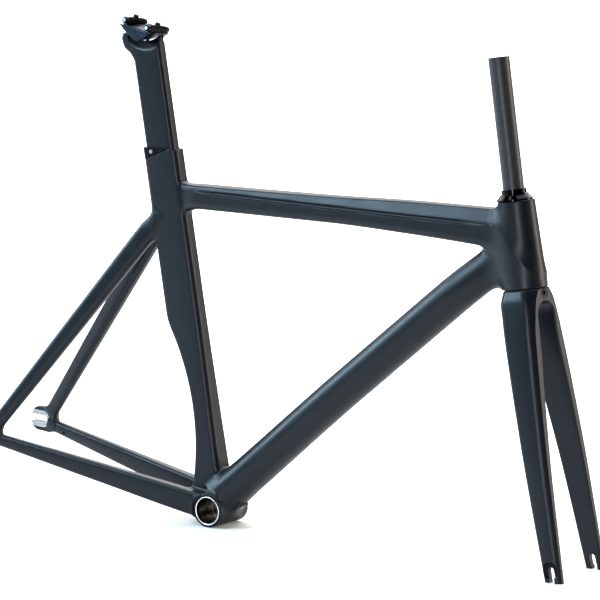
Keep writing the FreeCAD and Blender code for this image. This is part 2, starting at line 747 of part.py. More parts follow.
# ---------------------------------------------------------------- fork and headset
def headset():
    """Two angular bearings, the crown race, the compression ring and the top cover."""
    keep(ring("lower_bearing_outer_race", steering, "dims.lower_race_inner_radius", "dims.lower_seat_radius",
              "dims.race_inset", "dims.race_inset + dims.bearing_height"))
    keep(ring("upper_bearing_outer_race", steering, "dims.upper_race_inner_radius", "dims.upper_seat_radius",
              "dims.head_length - dims.bearing_seat_depth", "dims.head_length - dims.race_inset"))
    keep(ring("lower_bearing_inner_race", steering, "dims.steerer_base_radius",
              "dims.lower_inner_race_radius", "dims.crown_race_top", "dims.race_inset + dims.bearing_height"))
    keep(ring("upper_bearing_inner_race", steering, "dims.upper_inner_race_bore",
              "dims.upper_inner_race_radius", "dims.head_length - dims.bearing_seat_depth + 0.5",
              "dims.head_length - dims.race_inset"))
    keep(ring("crown_race", steering, "dims.steerer_base_radius", "dims.lower_ball_ring",
              "-dims.crown_gap", "dims.crown_race_top"))
    keep(ring("compression_ring", steering, "dims.steerer_neck_radius", "dims.upper_inner_race_bore",
              "dims.head_length - dims.compression_ring_depth", "dims.head_length + dims.cover_gap"))
    inset = size("ball_inset")
    for name, ring_alias, height in (("lower", "lower_ball_ring", inset),
                                     ("upper", "upper_ball_ring", size("head_length") - inset)):
        balls = []
        for number in range(BALL_COUNT):
            angle = 2 * math.pi * number / BALL_COUNT
            ball = doc.addObject("Part::Sphere", f"{name}_ball_{number}")
            bind(ball, "Radius", "dims.ball_radius")
            reach = size(ring_alias)
            ball.Placement = shifted(steering, reach * math.cos(angle), reach * math.sin(angle), height)
            balls.append(ball)
        keep(compound(f"{name}_bearing_balls", balls))
    bore = "dims.steerer_radius + 0.05"
    levels = {name: f"dims.head_length + dims.cover_{name}"
              for name in ("gap", "flange_top", "cone_top", "step_top", "top")}
    keep(turned("headset_top_cover", steering, [
        (bore, levels["gap"]), ("dims.cover_radius", levels["gap"]),
        ("dims.cover_radius", levels["flange_top"]), ("dims.cover_step_radius", levels["cone_top"]),
        ("dims.cover_step_radius", levels["step_top"] + " - 1"),
        ("dims.cover_top_radius", levels["step_top"]),
        ("dims.cover_top_radius", levels["top"]), (bore, levels["top"])]))


def steerer():
    """The tapered steerer, bonded into the crown and ground down under the headset's parts."""
    keep(turned("steerer_tube", steering, [
        ("dims.steerer_bore_radius", "-dims.crown_gap"), ("dims.steerer_base_radius", "-dims.crown_gap"),
        ("dims.steerer_base_radius", "dims.bearing_height + 2"),
        ("dims.steerer_neck_radius", "dims.steerer_taper_top"),
        ("dims.steerer_neck_radius", "dims.steerer_shoulder"),
        ("dims.steerer_radius", "dims.steerer_shoulder"),
        ("dims.steerer_radius", "dims.steerer_top"), ("dims.steerer_bore_radius", "dims.steerer_top")]))


def crown():
    """The crown with its arch, flat front and brake hole, and the bush in that hole."""
    blank = rounded_bar("crown_loft", steering, [
        ("-dims.crown_gap", "dims.crown_top_half_depth", "dims.crown_top_half_width",
         "dims.crown_top_corner", "dims.head_nose_shift"),
        ("-dims.crown_shoulder", "dims.crown_top_half_depth", "dims.crown_shoulder_half_width",
         "dims.crown_shoulder_corner", "dims.head_nose_shift"),
        ("-dims.crown_waist", "dims.crown_waist_half_depth", "dims.crown_waist_half_width",
         "dims.crown_waist_corner", "dims.crown_waist_shift"),
        ("-dims.crown_foot", "dims.crown_foot_half_depth", "dims.crown_foot_half_width",
         "dims.crown_foot_corner", "dims.leg_lead")])
    sideways = FreeCAD.Placement(V(), FreeCAD.Rotation(Y_AXIS, 90))
    centre = size("crown_arch_top") + size("crown_arch_radius")
    bow = rod("crown_arch_bow", shifted(steering, x=-60, z=-centre).multiply(sideways),
              "dims.crown_arch_radius", 120)
    gate = block("crown_arch_gate", shifted(steering, x=-60, y=-size("crown_arch_radius"), z=-centre - 60),
                 120, "2 * dims.crown_arch_radius", 60)
    face = block("crown_front_face", shifted(steering, x=size("crown_front"), y=-60, z=-90), 30, 120, 120)
    hole_start = shifted(steering, x=-60, z=-size("brake_hole_down"))
    hole = rod("crown_brake_hole", hole_start.multiply(sideways), "dims.brake_hole_radius", 120)
    bush_start = shifted(steering, x=size("crown_front") - 8, z=-size("brake_hole_down"))
    bush = rod("crown_bush_seat", bush_start.multiply(sideways), "dims.brake_bush_radius", 10)
    keep(cut("fork_crown", blank, bow, gate, face, hole, bush))
    keep(ring("brake_bush", bush_start.multiply(sideways), "dims.brake_hole_radius", "dims.brake_bush_radius",
              0.05, 8.0))


def leg_shift(down):
    """How far a fork leg's middle is ahead of the steering axis, at a distance down it."""
    return size("leg_lead") + size("leg_rake") * (down - size("crown_foot"))


def fork_legs():
    """The two blades below the crown, slotted and pocketed at their ends, with steel faces."""
    floor = block("under_floor", FreeCAD.Placement(
        V(400, -100, -size("floor_depth") - 60), FreeCAD.Rotation()), 300, 200, 60)
    axle = V(size("front_axle_ahead"), 0, -size("front_axle_down"))
    slot_lean = size("head_lean") + size("fork_slot_tilt")
    inner = size("hub_half_width")
    for side, sign in SIDES:
        facing_out = -90 if sign > 0 else 90
        stations = [
            ("-dims.crown_foot", "dims.crown_foot_half_depth",
             "0.5 * dims.crown_foot_half_width - 0.5 * dims.crown_arch_radius", "dims.leg_corner",
             leg_shift(size("crown_foot")), sign * size("leg_top_aside")),
            ("-dims.leg_knee", "dims.leg_knee_half_depth", "dims.leg_knee_half_width", "dims.leg_corner",
             leg_shift(size("leg_knee")), sign * size("leg_knee_aside")),
            ("-dims.leg_shin", "dims.leg_shin_half_depth", "dims.leg_shin_half_width", "dims.leg_corner",
             leg_shift(size("leg_shin")), sign * size("leg_shin_aside")),
            ("-dims.leg_foot", "dims.leg_foot_half_depth", "dims.leg_foot_half_width", "dims.leg_corner",
             leg_shift(size("leg_foot")), sign * (inner + size("leg_foot_half_width")))]
        bar = rounded_bar(f"fork_leg_loft_{side}", steering, stations)
        slot_spot = turned_about_x(leaning(axle + V(0, sign * 0.7 * inner, 0), slot_lean), facing_out)
        slot_depth = 0.9 * inner
        top = rod(f"fork_slot_top_{side}", slot_spot, "dims.fork_slot_half_width", slot_depth)
        channel_length = 40.0
        channel_start = 0.0 if sign > 0 else -channel_length
        channel = block(f"fork_slot_channel_{side}",
                        shifted(slot_spot, x=-size("fork_slot_half_width"), y=channel_start),
                        "2 * dims.fork_slot_half_width", channel_length, slot_depth)
        slot = united(f"fork_slot_{side}", top, channel)
        web_face = inner + size("fork_web")
        web_spot = turned_about_x(leaning(axle + V(0, sign * web_face, 0), slot_lean), facing_out)
        pocket = rod(f"fork_pocket_{side}", web_spot, "dims.fork_pocket_radius", 20)
        keep(cut(f"fork_leg_{side}", bar, slot, pocket, floor))
        disc = rod(f"fork_plate_disc_{side}", web_spot, "dims.fork_plate_radius", "dims.fork_plate_thickness")
        keep(cut(f"fork_end_plate_{side}", disc, slot))


# ---------------------------------------------------------------- seatpost and saddle clamp
def post_station(name):
    """A section of the post's head, flush at its front and reaching back to a stated depth."""
    rear = f"dims.post_{name}_rear"
    return (f"dims.post_{name}", f"(dims.post_half_depth + {rear}) / 2", "dims.post_head_half_width",
            "dims.post_nose_radius", f"(dims.post_half_depth - {rear}) / 2")


def seatpost():
    """The aero post; its head flares to the rear and is scooped for the saddle cradle."""
    bar = rounded_bar("seatpost_loft", seat, [
        (height, "dims.post_half_depth", "dims.post_half_width", "dims.post_nose_radius")
        for height in ("dims.post_foot", "dims.post_neck")])
    neck = ("dims.post_neck", "dims.post_half_depth", "dims.post_half_width", "dims.post_nose_radius", 0)
    head = rounded_bar("seatpost_head", seat,
                       [neck] + [post_station(name) for name in ("flare", "shoulder", "ear", "top")])
    groove = rod("seatpost_groove", along_y(tilt_point, 40), "dims.cradle_groove_radius", 80)
    step = block("seatpost_step", shifted(seat, x=-size("post_step_back"), y=-40, z=size("post_step_up")),
                 80, 80, 40)
    keep(cut("seatpost", united("seatpost_blank", bar, head), groove, step))


def rod_between(label, start, end, radius):
    """A cylinder from one point to another."""
    return rod(label, frame_at(start, end, V(0, 0, 1)), radius, (end - start).Length)


def rail_yoke(name, ahead, gap=0.0, run_out=0.0):
    """A cross yoke with round ends, rolled to one side; thickened and lengthened, it cuts room for itself."""
    middle = turned_about_x(shifted(saddle, x=ahead, z=-size("yoke_down")), -size("yoke_roll"))
    reach = middle.Rotation.multVec(V(0, size("yoke_half_length") + run_out, 0))
    bar = rod_between(f"{name}_bar", middle.Base - reach, middle.Base + reach, size("yoke_radius") + gap)
    half_depth = size("yoke_middle_half_depth") + gap
    half_length = size("yoke_middle_half_length") + gap
    body = block(f"{name}_body", shifted(middle, -half_depth, -half_length, -half_depth),
                 2 * half_depth, 2 * half_length, 2 * half_depth)
    return united(f"{name}_blank", bar, body), middle, reach


def saddle_clamp():
    """Cradle, two cross yokes, bolts and nuts that hold the saddle's rails; the yokes sit loose."""
    drum = rod("cradle_drum", along_y(tilt_point, size("cradle_half_width")), "dims.cradle_radius",
               "2 * dims.cradle_half_width")
    lid = block("cradle_lid", shifted(saddle, x=-50, y=-50, z=-size("cradle_top")), 100, 100, 60)
    sideways = FreeCAD.Placement(V(), FreeCAD.Rotation(Y_AXIS, 90))
    rails = [rod(f"rail_{side}", shifted(saddle, x=-60, y=sign * size("rail_spread"),
                                         z=-size("rail_down")).multiply(sideways), "dims.rail_radius", 120)
             for side, sign in SIDES]
    bolts = []
    for side, sign in SIDES:
        foot = shifted(saddle, x=size("bolt_ahead"), y=sign * size("bolt_aside"),
                       z=-size(f"bolt_foot_down_{side}"))
        head = rod(f"clamp_bolt_head_{side}", foot, "dims.bolt_head_radius", "dims.bolt_head_height")
        shank = rod(f"clamp_bolt_shank_{side}", shifted(foot, z=size("bolt_head_height") / 2),
                    "dims.bolt_radius", "dims.bolt_length + dims.bolt_head_height / 2")
        bolts.append(united(f"clamp_bolt_{side}", head, shank))
    bolt_group = keep(compound("clamp_bolts", bolts))
    caps = []
    nuts = []
    spaces = []
    for name, ahead in (("front", size("yoke_front")), ("rear", -size("yoke_rear"))):
        yoke, middle, reach = rail_yoke(f"rail_yoke_{name}", ahead)
        space, _, _ = rail_yoke(f"rail_yoke_space_{name}", ahead, size("yoke_gap"), size("yoke_run_out"))
        spaces.append(space)
        for side, sign in SIDES:
            end = middle.Base + sign * reach
            caps.append(rod_between(f"yoke_cap_{name}_{side}", end,
                                    end + reach * (sign * size("cap_height") / reach.Length),
                                    "dims.cap_radius"))
        nuts.append(ring(f"yoke_nut_{name}", shifted(middle, z=size("yoke_middle_half_depth")),
                         "dims.nut_bore_radius", "dims.nut_radius", 0, "dims.nut_height"))
        keep(cut(f"rail_yoke_{name}", yoke, bolt_group))
    keep(compound("yoke_caps", caps))
    keep(compound("yoke_nuts", nuts))
    keep(cut("saddle_cradle", drum, lid, *rails, *spaces, bolt_group))


def check_and_write():
    """Stop on any failed feature or bad shape, then write one STEP file per sub-part."""
    doc.recompute()
    for feature in doc.Objects:
        if "Invalid" in feature.State or "Error" in feature.State:
            raise RuntimeError(f"{feature.Label} failed: {feature.State}")
    for solid in nodes:
        if solid.Shape.isNull() or not solid.Shape.isValid():
            raise RuntimeError(f"{solid.Label} has no valid shape")
    os.makedirs("parts", exist_ok=True)
    for solid in nodes:
        solid.Shape.exportStep(f"parts/{solid.Label}.step")
        print(f"{solid.Label:28s} solids {len(solid.Shape.Solids):2d} volume {solid.Shape.Volume:10.1f}")


bottom_bracket()
head_tube()
seat_tube()
seat_clamp()
top_tube()
down_tube()
track_ends()
chainstays()
seatstays()
cable_guide()
headset()
steerer()
crown()
fork_legs()
seatpost()
saddle_clamp()
check_and_write()
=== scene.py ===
"""Looks of a track bicycle frameset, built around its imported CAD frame.

The frame, the fork and the seatpost are smooth mouldings. Each one is written as a distance field in
millimetres, made of tubes that blend into each other, and its zero surface becomes the mesh.
"""
import json
import math

import bpy
import numpy as np
import openvdb
from mathutils import Matrix, Vector


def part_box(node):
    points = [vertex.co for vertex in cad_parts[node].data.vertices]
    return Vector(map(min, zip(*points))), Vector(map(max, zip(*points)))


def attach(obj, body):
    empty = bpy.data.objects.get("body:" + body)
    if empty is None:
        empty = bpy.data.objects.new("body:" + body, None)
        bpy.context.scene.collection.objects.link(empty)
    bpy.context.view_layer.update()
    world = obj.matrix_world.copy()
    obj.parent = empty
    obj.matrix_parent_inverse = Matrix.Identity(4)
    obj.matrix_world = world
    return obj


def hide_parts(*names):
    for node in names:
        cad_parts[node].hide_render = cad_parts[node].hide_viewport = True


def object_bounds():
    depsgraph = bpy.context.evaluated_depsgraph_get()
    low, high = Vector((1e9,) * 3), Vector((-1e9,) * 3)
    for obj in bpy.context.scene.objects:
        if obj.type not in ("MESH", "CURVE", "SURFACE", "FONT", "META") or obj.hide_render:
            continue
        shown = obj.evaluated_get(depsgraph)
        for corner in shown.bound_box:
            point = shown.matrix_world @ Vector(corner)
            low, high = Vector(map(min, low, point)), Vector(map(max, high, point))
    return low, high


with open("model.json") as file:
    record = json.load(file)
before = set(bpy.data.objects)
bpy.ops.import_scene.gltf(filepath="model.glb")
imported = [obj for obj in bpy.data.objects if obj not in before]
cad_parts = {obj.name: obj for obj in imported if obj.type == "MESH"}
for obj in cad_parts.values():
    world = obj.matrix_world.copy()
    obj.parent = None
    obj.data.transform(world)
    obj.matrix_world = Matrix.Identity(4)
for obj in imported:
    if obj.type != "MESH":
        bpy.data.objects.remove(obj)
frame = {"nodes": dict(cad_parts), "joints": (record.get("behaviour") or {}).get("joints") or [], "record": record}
cad_low, cad_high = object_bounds()

MM = 0.001
record = frame["record"]
mounts = {mount["name"]: mount for mount in record["mounts"]}
joints = {joint["name"]: joint for joint in frame["joints"]}
FORWARD = np.array([1.0, 0.0, 0.0])
LEFT = np.array([0.0, 1.0, 0.0])
UP = np.array([0.0, 0.0, 1.0])


# ---------------------------------------------------------------- places and rules
def unit(vector):
    vector = np.array(vector, float)
    return vector / np.linalg.norm(vector)


class Place:
    """A local frame in millimetres: z runs along a part, x toward its face, y across it."""

    def __init__(self, origin, along, facing):
        self.origin = np.array(origin, float)
        self.z = unit(along)
        self.y = unit(np.cross(self.z, facing))
        self.x = np.cross(self.y, self.z)

    def local(self, points):
        offset = points - self.origin[:, None]
        return self.x @ offset, self.y @ offset, self.z @ offset

    def point(self, x=0.0, y=0.0, z=0.0):
        return self.origin + x * self.x + y * self.y + z * self.z

    def matrix(self, x=0.0, y=0.0, z=0.0):
        """The place as a matrix in metres, moved along its own axes."""
        spot = self.point(x, y, z) * MM
        rows = [[self.x[i], self.y[i], self.z[i], spot[i]] for i in range(3)]
        return Matrix(rows + [[0, 0, 0, 1]])


def profile(heights, values):
    """A smooth curve through values at rising heights, without overshoot."""
    heights = np.array(heights, float)
    values = np.array(values, float) * np.ones(len(heights))
    secants = np.diff(values) / np.diff(heights)
    slopes = np.concatenate([secants[:1], np.zeros(len(heights) - 2), secants[-1:]])
    for i in range(1, len(heights) - 1):
        if secants[i - 1] * secants[i] > 0:
            slopes[i] = 2 / (1 / secants[i - 1] + 1 / secants[i])
    fine = np.linspace(heights[0], heights[-1], 600)
    i = np.clip(np.searchsorted(heights, fine) - 1, 0, len(heights) - 2)
    span = heights[i + 1] - heights[i]
    t = (fine - heights[i]) / span
    curve = ((2 * t**3 - 3 * t**2 + 1) * values[i] + (t**3 - 2 * t**2 + t) * span * slopes[i]
             + (3 * t**2 - 2 * t**3) * values[i + 1] + (t**3 - t**2) * span * slopes[i + 1])
    return lambda z: np.interp(z, fine, curve)


def higher(a, b, blend):
    """The greater of two fields, rounded over a blend width."""
    mix = np.maximum(blend - np.abs(a - b), 0) / blend
    return np.maximum(a, b) + mix * mix * blend / 4


def lower(a, b, blend):
    return -higher(-a, -b, blend)


# ---------------------------------------------------------------- distance fields
def box_tube(place, stations, corner, end_blend=1.0, shift=None, bow=0.0):
    """A tube of rounded rectangles, its sides bowed; each station is a height, a half x and a half y."""
    heights = [station[0] for station in stations]
    half_x = profile(heights, [station[1] for station in stations])
    half_y = profile(heights, [station[2] for station in stations])
    radius = profile(heights, corner)
    moves = shift or [(0.0, 0.0)] * len(stations)
    shift_x = profile(heights, [move[0] for move in moves])
    shift_y = profile(heights, [move[1] for move in moves])

    def field(points):
        x, y, z = place.local(points)
        r = radius(z)
        out_x = np.abs(x - shift_x(z)) - half_x(z) + r
        out_y = np.abs(y - shift_y(z)) - half_y(z) + r + bow * ((x - shift_x(z)) / half_x(z)) ** 2
        across = (np.hypot(np.maximum(out_x, 0), np.maximum(out_y, 0))
                  + np.minimum(np.maximum(out_x, out_y), 0) - r)
        ends = np.maximum(heights[0] - z, z - heights[-1])
        return higher(across, ends, end_blend)

    return field


def round_tube(place, stations, end_blend=1.0, shift=None):
    """A tube of ellipses; each station is a height and two half sizes."""
    heights = [station[0] for station in stations]
    half_x = profile(heights, [station[1] for station in stations])
    half_y = profile(heights, [station[2] for station in stations])
    shift_x = profile(heights, shift if shift is not None else 0.0)

    def field(points):
        x, y, z = place.local(points)
        a = half_x(z)
        b = half_y(z)
        x = x - shift_x(z)
        near = np.hypot(x / a, y / b)
        steep = np.hypot(x / (a * a), y / (b * b)) + 1e-9
        across = near * (near - 1) / steep
        across = np.where(near < 0.4, -0.6 * np.minimum(a, b), across)
        ends = np.maximum(heights[0] - z, z - heights[-1])
        return higher(across, ends, end_blend)

    return field


def drum(place, radius, low, high):
    """A plain cylinder along the place's z, from a low to a high end."""
    def field(points):
        x, y, z = place.local(points)
        return np.maximum(np.hypot(x, y) - radius, np.maximum(low - z, z - high))

    return field


def half_space(place):
    """Everything below the place's z, down to any depth."""
    def field(points):
        return place.local(points)[2]

    return field


# ---------------------------------------------------------------- surface of a field
BLOCK = 32
BAND_VOXELS = 3
SMOOTHING_ROUNDS = 3
LEAST_SLOPE = 0.2


def steepness(field, points, step=0.05):
    """The field's gradient by central differences."""
    moves = (np.eye(3) * step)[:, :, None]
    return np.stack([(field(points + move) - field(points - move)) / (2 * step) for move in moves])


def surface(field, low, high, voxel):
    """The zero surface of a field between two corners: points, exact normals and four-sided faces.

    Only the blocks of voxels near the surface are worked out. The grid's points are then pulled onto the
    true surface along its gradient.
    """
    reach = BLOCK * voxel
    band = BAND_VOXELS * voxel
    grid = openvdb.FloatGrid(band)
    grid.transform = openvdb.createLinearTransform(voxelSize=voxel)
    first = np.floor(np.array(low) / reach).astype(int)
    last = np.floor(np.array(high) / reach).astype(int)
    blocks = np.stack(np.meshgrid(*(np.arange(a, b + 1) for a, b in zip(first, last)), indexing="ij"))
    blocks = blocks.reshape(3, -1)
    close = np.abs(field((blocks + 0.5) * reach)) < reach
    steps = np.arange(BLOCK) * voxel
    local = np.stack(np.meshgrid(steps, steps, steps, indexing="ij")).reshape(3, -1)
    for block in blocks[:, close].T:
        values = np.clip(field(local + (block * reach)[:, None]), -band, band)
        cells = np.ascontiguousarray(values.reshape(BLOCK, BLOCK, BLOCK), dtype=np.float32)
        grid.copyFromArray(cells, ijk=tuple(int(i) for i in block * BLOCK))
    points, _, quads = grid.convertToPolygons(isovalue=0.0, adaptivity=0.0)
    points = np.array(points, float).T
    quads = np.array(quads, int)
    for _ in range(SMOOTHING_ROUNDS):
        slope = steepness(field, points)
        points = points - slope * field(points) / np.maximum((slope * slope).sum(0), LEAST_SLOPE)
    normals = steepness(field, points)
    normals /= np.linalg.norm(normals, axis=0) + 1e-12
    first, second, third = (points[:, quads[0][i]] for i in range(3))
    if np.cross(second - first, third - first) @ normals[:, quads[0][0]] < 0:
        quads = quads[:, ::-1]
    return points, normals, quads


def piece_of(name, points, normals, quads):
    """A mesh object from some faces of a surface, shaded by the surface's exact normals."""
    used, faces = np.unique(quads, return_inverse=True)
    mesh = bpy.data.meshes.new(name)
    mesh.from_pydata((points[:, used].T * MM).tolist(), [], faces.reshape(quads.shape).tolist())
    mesh.validate()
    mesh.shade_smooth()
    mesh.normals_split_custom_set_from_vertices(normals[:, used].T.tolist())
    piece = bpy.data.objects.new(name, mesh)
    bpy.context.scene.collection.objects.link(piece)
    return piece


def skin(name, field, low, high, voxel):
    """The whole surface of a field as one mesh object."""
    return piece_of(name, *surface(field, low, high, voxel))


# ---------------------------------------------------------------- reference places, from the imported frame
def joint_place(name):
    """A joint's place: z along its axis, x forward."""
    joint = joints[name]
    origin = np.array(joint.get("pos_m", [0, 0, 0])) / MM
    return Place(origin, joint["axis"], FORWARD)


def mount_point(name):
    return np.array(mounts[name]["pos_m"]) / MM


steering = joint_place("steering")
SEAT_FOOT_BACK = 13.9
seat_axis = np.array(joints["seatpost_height"]["axis"])
seat = Place([-SEAT_FOOT_BACK, 0, 0], seat_axis, FORWARD)
CLAMP_NOSE_DOWN = math.radians(13.5)
tilt_point = np.array(joints["saddle_tilt"]["pos_m"]) / MM
tilt = Place(tilt_point, LEFT, FORWARD)
saddle = Place(tilt_point, [math.sin(CLAMP_NOSE_DOWN), 0, math.cos(CLAMP_NOSE_DOWN)], FORWARD)
bracket = Place(mount_point("bottom_bracket"), LEFT, FORWARD)
rear_axle = mount_point("rear_axle_slots")
front_axle = mount_point("front_axle_slots")

# ---------------------------------------------------------------- sizes of the mouldings, in millimetres
HEAD_LENGTH = 118.0
BEARING_DEPTH = 7.6
MAST_TOP = 505.0
POCKET_BOTTOM = 270.0
WHEEL_CLEARANCE = 337.0
BRACKET_RADIUS = 24.0
BRACKET_HALF_WIDTH = 33.0
SLEEVE_RADIUS = 20.5
SLEEVE_BORE_RADIUS = 17.2
THREAD_PITCH = 1.5
THREAD_DEPTH = 0.1
RIM_RADIUS = 18.9
RIM_SLOPE = (0.92, 0.39)
CREASE_RADIUS = 3.4
CREASE_FLATNESS = 1.25
TRACK_END_INNER = 62.0
TRACK_END_THICKNESS = 8.0
SLOT_TILT = math.radians(4.5)
SLOT_HALF = 5.0
SLOT_CLOSED_END = 6.6
PLATE_THICKNESS = 2.0
TOOTH_PITCH = 2.6
TOOTH_DEPTH = 0.35
TOOTH_MIDDLE = 8.2
TOOTH_HALF_LENGTH = 1.5
VENT_RADIUS = 1.6
VENTS = ((13, 44), (46, -16))
NOTCH_LENGTH = 43.0
NOTCH_DROP = 19.0
NOTCH_TIP_DROP = 1.4
ARCH_TOP = 19.0
ARCH_RADIUS = 20.0
CROWN_FRONT = 29.5
CROWN_GAP = 0.4
BRAKE_HOLE_DOWN = 7.85
BRAKE_HOLE_RADIUS = 3.0
BUSH_RADIUS = 4.4
BUSH_DEPTH = 8.0
RIM_GROOVE_RADIUS = 6.6
HUB_HALF_WIDTH = 50.0
FRONT_SLOT_HALF = 4.6
FRONT_SLOT_LEAN = math.radians(8.5 + 4.5)
FORK_PLATE_RADIUS = 11.5
FORK_PLATE_INSET = 6.0
POST_FRONT = 23.7
POST_CUT_HEIGHT = 671.5
POST_CUT_FROM = -8.0
POST_HEAD_HALF_WIDTH = 11.3
SCOOP_RADIUS = 31.9
SCOOP_RIM = 44.0
SCOOP_LEAN = math.radians(40)
EAR_FROM = -26.0
CRADLE_RADIUS = 30.7
CRADLE_HALF_WIDTH = 27.0
CRADLE_TOP_DOWN = 13.0
REAR_TRIM_RADIUS = 83.0
REAR_TRIM_MIDDLE = (27.0, 52.0)
RAIL_ASIDE = 22.0
RAIL_GROOVE_DOWN = 12.5
RAIL_GROOVE_RADIUS = 3.5
RIB_DEPTH = 0.35
YOKES = (22.3, -17.0)
YOKE_DOWN = 9.5
YOKE_ROLL = math.radians(7.2)
YOKE_RADIUS = 4.5
YOKE_HALF_LENGTH = 25.8
YOKE_MIDDLE_HALF_DEPTH = 5.0
YOKE_MIDDLE_HALF_LENGTH = 20.0
YOKE_ROOM = 0.3
YOKE_RUN_OUT = 8.0


def head_tube():
    """The egg-shaped head tube, and what is taken out of it: the bore and both bearing seats."""
    shape = round_tube(steering, [(0, 29.8, 28.3), (HEAD_LENGTH, 25.4, 22.9)], 1.2, shift=[2.4, 2.4])
    bore = round_tube(steering, [(-5, 22.5, 22.5), (HEAD_LENGTH + 5, 17.5, 17.5)])
    low_seat = drum(steering, 24.6, -5, BEARING_DEPTH)
    high_seat = drum(steering, 19.5, HEAD_LENGTH - BEARING_DEPTH, HEAD_LENGTH + 5)
    return shape, (bore, low_seat, high_seat)


def seat_tube():
    """The aero seat tube, widest at the bracket, and the pocket for the post."""
    stations = [(6, 29, 20), (150, 29, 16.5), (300, 29, 14.2), (540, 28.6, 14.2)]
    shape = box_tube(seat, stations, 8.0, bow=1.4)
    pocket = box_tube(seat, [(POCKET_BOTTOM, 24.1, 11.4), (560, 24.1, 11.4)], 7.5)
    return shape, pocket


def top_tube():
    """The top tube with its sloping upper sides, and the crease along each side."""
    start = np.array([-75.0, 0.0, 442.3])
    end = np.array([478.0, 0.0, 438.3])
    length = 553
    place = Place(start, end - start, UP)
    heights = [0, 17, 42, 260, 400, length]
    top = profile(heights, [15.4, 15.4, 15.6, 18.6, 22.5, 24])
    bottom = profile(heights, [27, 24, 18.6, 18.6, 22.5, 30])
    width = profile(heights, [9, 12.5, 16.6, 17, 17.8, 18.5])
    ridge = profile([0, 42, 303, length], [7.3, 7.0, 3.9, 2.2])
    lean = math.radians(20)

    def field(points):
        x, y, z = place.local(points)
        y = np.abs(y)
        side = y - width(z) + 0.5
        bevel = (y - width(z)) * math.cos(lean) + (x - ridge(z)) * math.sin(lean)
        shape = higher(higher(side, bevel, 1.5), x - top(z), 2.5)
        shape = higher(shape, -x - bottom(z), 11.0)
        return higher(shape, np.maximum(-z, z - length), 1.0)

    def crease(points):
        x, y, z = place.local(points)
        fade = np.clip((z - 22) / 50, 0, 1) * np.clip((545 - z) / 70, 0, 1)
        reach = np.hypot((x - ridge(z)) * CREASE_FLATNESS, np.abs(y) - width(z))
        return reach - CREASE_RADIUS * fade + (1 - fade)

    return field, crease


def down_tube():
    """The big oval down tube, bent slightly where it meets the bracket."""
    line = np.array([[6, 0, 16.5], [52, 0, 55.6], [220, 0, 199.2], [382, 0, 333], [476, 0, 405]], float)
    place = Place(line[0], line[-1] - line[0], UP)
    x, _, z = place.local(line.T)
    stations = [(height, *halves) for height, halves in
                zip(z, [(28, 32), (26.5, 29), (26, 25), (26, 24.5), (25, 10)])]
    return round_tube(place, stations, shift=x)


def stay(top, tip, stations, corner, sign):
    """A stay on one side, between two ends, with its stations by share of its length."""
    top = np.array(top, float) * [1, sign, 1]
    tip = np.array(tip, float) * [1, sign, 1]
    run = tip - top
    length = np.linalg.norm(run)
    facing = np.cross(run, LEFT) if run[0] < 0 else np.cross(LEFT, run)
    place = Place(top, run, facing)
    return box_tube(place, [(share * length, a, b) for share, a, b in stations], corner, 4.0, bow=1.2)


def rear_end(sign):
    """The track end's frame: x forward along the slot, z outward from the wheel's plane."""
    origin = rear_axle + LEFT * sign * TRACK_END_INNER
    forward = np.array([math.cos(SLOT_TILT), 0, -math.sin(SLOT_TILT)])
    return Place(origin, LEFT * sign, forward)


def stadium(place, front, back, half_height, corner, low, high, blend):
    """A plate with round corners; x is along it, y is up and z through it."""
    middle = (front + back) / 2
    half = (front - back) / 2

    def field(points):
        x, y, z = place.local(points)
        out_x = np.abs(x - middle) - half + corner
        out_y = np.abs(y) - half_height + corner
        across = (np.hypot(np.maximum(out_x, 0), np.maximum(out_y, 0))
                  + np.minimum(np.maximum(out_x, out_y), 0) - corner)
        return higher(across, np.maximum(low - z, z - high), blend)

    return field


def axle_slot(place, closed_end, half_width):
    """An endless slot that opens toward -x and ends in a half circle."""
    def field(points):
        x, y, _ = place.local(points)
        return np.hypot(np.maximum(x - closed_end, 0), y) - half_width

    return field


def stays():
    """Both chainstays, both seatstays and both track ends, blended into one rear end."""
    chain_stations = [(-0.05, 10, 5), (0.06, 17, 10.6), (0.5, 13.6, 8.5), (1, 8.6, 6.5)]
    seat_stations = [(0, 9, 5), (0.07, 12.3, 8.2), (0.45, 10.6, 8.2), (1, 8.2, 6)]
    chain = [stay((-6, 22.7, 3.2), (-353, 67.1, 70.8), chain_stations, 5.0, sign) for sign in (-1, 1)]
    upper = [stay((-104, 6.4, 406.6), (-352, 64.4, 92.1), seat_stations, 5.0, sign) for sign in (-1, 1)]
    ends = [stadium(rear_end(sign), 23.5, -14.5, 16.5, 11, 0, TRACK_END_THICKNESS, 1.4) for sign in (-1, 1)]

    def field(points):
        high = lower(upper[0](points), upper[1](points), 8.0)
        low = lower(chain[0](points), chain[1](points), 4.0)
        feet = lower(ends[0](points), ends[1](points), 1.0)
        return high, lower(lower(high, feet, 9.0), lower(low, feet, 9.0), 6.0)

    return field


def rear_openings():
    """The axle slots, and the small vents in the stays' inner faces."""
    slots = [axle_slot(rear_end(sign), SLOT_CLOSED_END, SLOT_HALF) for sign in (-1, 1)]
    vents = [drum(Place(rear_axle + ahead * FORWARD + up * UP, LEFT * sign, FORWARD), VENT_RADIUS, 40, 64)
             for sign in (-1, 1) for ahead, up in VENTS]
    return (*vents, *slots)


